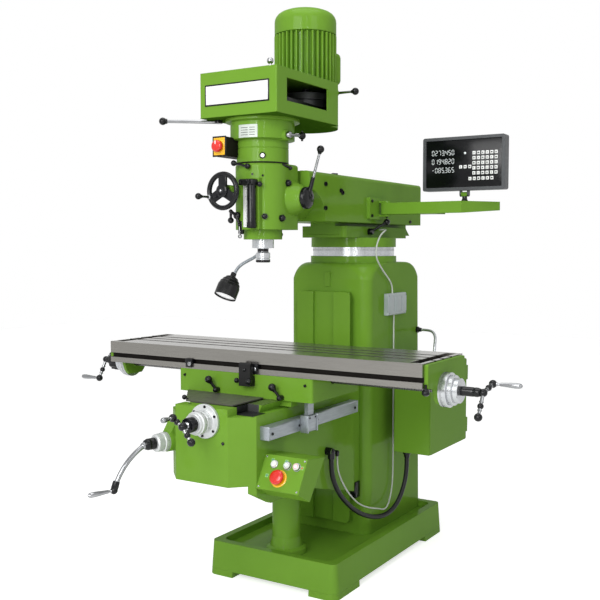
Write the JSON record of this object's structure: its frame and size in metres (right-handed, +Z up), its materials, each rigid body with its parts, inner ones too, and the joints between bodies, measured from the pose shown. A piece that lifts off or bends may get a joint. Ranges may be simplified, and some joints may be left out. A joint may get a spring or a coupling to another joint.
{
  "type": "turret milling machine",
  "caption": "Green knee-type turret milling machine with ram head, T-slot table, ball cranks, quill lever, handwheel, digital display on an arm, work lamp and electrical cabinet",
  "frame": {"origin": "on the floor, at the centre of the four foundation bolts", "axes": "+X to the operator's right, +Y towards the column's back, +Z up"},
  "size_m": [1.7668, 1.6639, 2.091],
  "materials": {
    "green_paint": "satin",
    "ground_steel": "brushed",
    "satin_chrome": "satin",
    "black_plastic": "gloss",
    "black_iron": "satin",
    "cast_iron_grey": "matte",
    "aluminium_grey": "satin",
    "display_plastic": "matte",
    "red_plastic": "gloss",
    "green_plastic": "gloss",
    "hose_rubber": "matte",
    "grey_cable": "matte",
    "bronze": "satin",
    "light_grey_paint": "satin"
  },
  "bodies": {
    "frame": {"base": "green_paint", "base_feet": "green_paint", "column": "green_paint", "elevating_pedestal": "green_paint", "junction_box": "light_grey_paint", "electrical_cabinet": "green_paint", "cable_glands": "black_plastic", "cabinet_conduit": "aluminium_grey", "control_hose": "hose_rubber", "display_cable": "grey_cable", "scale_cable": "grey_cable"},
    "door": {"cabinet_door": "green_paint"},
    "knee": {"knee": "green_paint", "linear_scale": "aluminium_grey", "control_box": "green_paint", "cross_screw_flange": "satin_chrome"},
    "cross_feed": {"cross_screw": "ground_steel", "cross_crank": "black_iron"},
    "knee_drive": {"knee_crank_shaft": "satin_chrome", "knee_crank": "satin_chrome"},
    "elevating": {"elevating_screw": "ground_steel"},
    "emergency": {"emergency_stop": "red_plastic"},
    "start": {"start_button": "green_plastic"},
    "stop": {"stop_button": "black_plastic"},
    "saddle": {"saddle": "green_paint", "way_cover": "black_iron", "scale_reader": "aluminium_grey", "table_stop_block": "black_iron", "feed_nuts": "bronze"},
    "clamp_left": {"saddle_clamp_left": "black_plastic"},
    "clamp_right": {"saddle_clamp_right": "black_plastic"},
    "table": {"table": "ground_steel", "table_end_brackets": "green_paint"},
    "table_drive": {"table_screw": "satin_chrome", "table_cranks": "satin_chrome"},
    "turret": {"turret": "green_paint", "turret_scale_ring": "satin_chrome"},
    "ram_clamp": {"ram_clamp_lever": "black_plastic"},
    "ram": {"ram": "green_paint"},
    "arm": {"display_arm": "green_paint"},
    "display": {"display": "display_plastic"},
    "head": {"quill_housing": "green_paint", "gear_case": "green_paint", "belt_housing": "green_paint", "motor": "green_paint", "drive_belt": "hose_rubber", "switch_box": "black_plastic", "depth_stop": "black_iron", "work_lamp": "black_iron"},
    "quill": {"quill": "satin_chrome"},
    "spindle": {"spindle": "satin_chrome"},
    "spindle_drive": {"spindle_pulley": "cast_iron_grey"},
    "motor_drive": {"motor_pulley": "cast_iron_grey"},
    "quill_lever": {"quill_lever": "black_iron"},
    "fine_feed": {"fine_feed_wheel": "black_iron"},
    "brake": {"brake_lever": "black_plastic"},
    "back_gear": {"back_gear_lever": "black_plastic"},
    "speed": {"speed_lever": "black_plastic"},
    "feed": {"feed_lever": "black_plastic"},
    "switch": {"switch_knob": "red_plastic"}
  },
  "joints": [
    {"name": "knee_lift", "type": "slide", "parent": "frame", "child": "knee", "axis": [0, 0, 1], "range_m": [-0.13, 0.15], "deforming": ["control_hose", "scale_cable"]},
    {"name": "knee_crank_turn", "type": "hinge", "parent": "knee", "child": "knee_drive", "pos_m": [0, -0.35, 0.587], "axis": [-0.2807, -0.9598, 0], "range_deg": [-18720, 21600]},
    {"name": "elevating_screw_turn", "type": "hinge", "parent": "knee", "child": "elevating", "pos_m": [0, -0.35, 0.5], "axis": [0, 0, 1], "range_deg": [-9360, 10800]},
    {"name": "saddle_feed", "type": "slide", "parent": "knee", "child": "saddle", "axis": [0, 1, 0], "range_m": [-0.05, 0.19]},
    {"name": "cross_crank_turn", "type": "hinge", "parent": "knee", "child": "cross_feed", "pos_m": [0.02, -0.9, 0.672], "axis": [0, 1, 0], "range_deg": [-3600, 13680]},
    {"name": "table_feed", "type": "slide", "parent": "saddle", "child": "table", "axis": [1, 0, 0], "range_m": [-0.38, 0.32]},
    {"name": "table_crank_turn", "type": "hinge", "parent": "table", "child": "table_drive", "pos_m": [0.6, -0.487, 0.778], "axis": [1, 0, 0], "range_deg": [-27360, 23040]},
    {"name": "saddle_clamp_left_turn", "type": "hinge", "parent": "saddle", "child": "clamp_left", "pos_m": [-0.103, -0.63, 0.732], "axis": [0, 1, 0], "range_deg": [-40, 40]},
    {"name": "saddle_clamp_right_turn", "type": "hinge", "parent": "saddle", "child": "clamp_right", "pos_m": [0.16, -0.63, 0.726], "axis": [0, 1, 0], "range_deg": [-40, 40]},
    {"name": "emergency_stop_push", "type": "slide", "parent": "knee", "child": "emergency", "axis": [0, 0.8628, -0.5055], "range_m": [0, 0.006], "stiffness_N_per_m": 400},
    {"name": "start_push", "type": "slide", "parent": "knee", "child": "start", "axis": [0, 0.8628, -0.5055], "range_m": [0, 0.005], "stiffness_N_per_m": 300},
    {"name": "stop_push", "type": "slide", "parent": "knee", "child": "stop", "axis": [0, 0.8628, -0.5055], "range_m": [0, 0.005], "stiffness_N_per_m": 300},
    {"name": "turret_swivel", "type": "hinge", "parent": "frame", "child": "turret", "pos_m": [0, 0.16, 1.2], "axis": [0, 0, 1], "range_deg": [-90, 90], "deforming": ["display_cable"]},
    {"name": "ram_clamp_turn", "type": "hinge", "parent": "turret", "child": "ram_clamp", "pos_m": [0.11, 0.104, 1.2832], "axis": [1, 0, 0], "range_deg": [-40, 0]},
    {"name": "ram_slide", "type": "slide", "parent": "turret", "child": "ram", "axis": [0, -1, 0], "range_m": [-0.2, 0.2]},
    {"name": "display_arm_swing", "type": "hinge", "parent": "ram", "child": "arm", "pos_m": [0.17, 0.125, 1.37], "axis": [0, 0, 1], "range_deg": [-30, 45]},
    {"name": "display_tilt", "type": "hinge", "parent": "arm", "child": "display", "pos_m": [0.477, 0.172, 1.424], "axis": [1, 0, 0], "range_deg": [-15, 25]},
    {"name": "head_tilt", "type": "hinge", "parent": "ram", "child": "head", "pos_m": [0, -0.404, 1.403], "axis": [0, 1, 0], "range_deg": [-90, 90]},
    {"name": "quill_feed", "type": "slide", "parent": "head", "child": "quill", "axis": [0, 0, -1], "range_m": [0, 0.127]},
    {"name": "quill_lever_turn", "type": "hinge", "parent": "head", "child": "quill_lever", "pos_m": [0.14, -0.443, 1.391], "axis": [1, 0, 0], "range_deg": [0, 501.83]},
    {"name": "spindle_drive_spin", "type": "hinge", "parent": "head", "child": "spindle_drive", "pos_m": [0, -0.497, 1.73], "axis": [0, 0, 1], "continuous": true},
    {"name": "spindle_spin", "type": "hinge", "parent": "quill", "child": "spindle", "pos_m": [0, -0.497, 1.4], "axis": [0, 0, 1], "continuous": true},
    {"name": "motor_spin", "type": "hinge", "parent": "head", "child": "motor_drive", "pos_m": [0, -0.215, 1.73], "axis": [0, 0, 1], "continuous": true},
    {"name": "fine_feed_turn", "type": "hinge", "parent": "head", "child": "fine_feed", "pos_m": [-0.05, -0.66, 1.41], "axis": [0, 1, 0], "continuous": true},
    {"name": "brake_turn", "type": "hinge", "parent": "head", "child": "brake", "pos_m": [-0.126, -0.581, 1.653], "axis": [0, 0, 1], "range_deg": [-20, 20]},
    {"name": "back_gear_turn", "type": "hinge", "parent": "head", "child": "back_gear", "pos_m": [0.12, -0.518, 1.6], "axis": [1, 0, 0], "range_deg": [-50, 10]},
    {"name": "speed_change_turn", "type": "hinge", "parent": "head", "child": "speed", "pos_m": [0.136, -0.225, 1.779], "axis": [0, 1, 0], "range_deg": [-35, 35]},
    {"name": "feed_engage_turn", "type": "hinge", "parent": "head", "child": "feed", "pos_m": [0.01, -0.6, 1.494], "axis": [0, 1, 0], "range_deg": [-30, 30]},
    {"name": "switch_turn", "type": "hinge", "parent": "head", "child": "switch", "pos_m": [-0.078, -0.64, 1.561], "axis": [0, 1, 0], "range_deg": [-45, 45]},
    {"name": "cabinet_door_swing", "type": "hinge", "parent": "frame", "child": "door", "pos_m": [0.386, 0.437, 0.59], "axis": [0, 0, 1], "range_deg": [0, 110]}
  ],
  "couplings": [
    {"joint": "knee_crank_turn", "follows": "knee_lift", "rad_per_m": 2513.3},
    {"joint": "elevating_screw_turn", "follows": "knee_lift", "rad_per_m": 1256.6},
    {"joint": "cross_crank_turn", "follows": "saddle_feed", "rad_per_m": 1256.6},
    {"joint": "table_crank_turn", "follows": "table_feed", "rad_per_m": 1256.6},
    {"joint": "quill_feed", "follows": "quill_lever_turn", "m_per_rad": 0.0145},
    {"joint": "spindle_spin", "follows": "spindle_drive_spin", "ratio": 1},
    {"joint": "motor_spin", "follows": "spindle_drive_spin", "ratio": 1.3243}
  ]
}
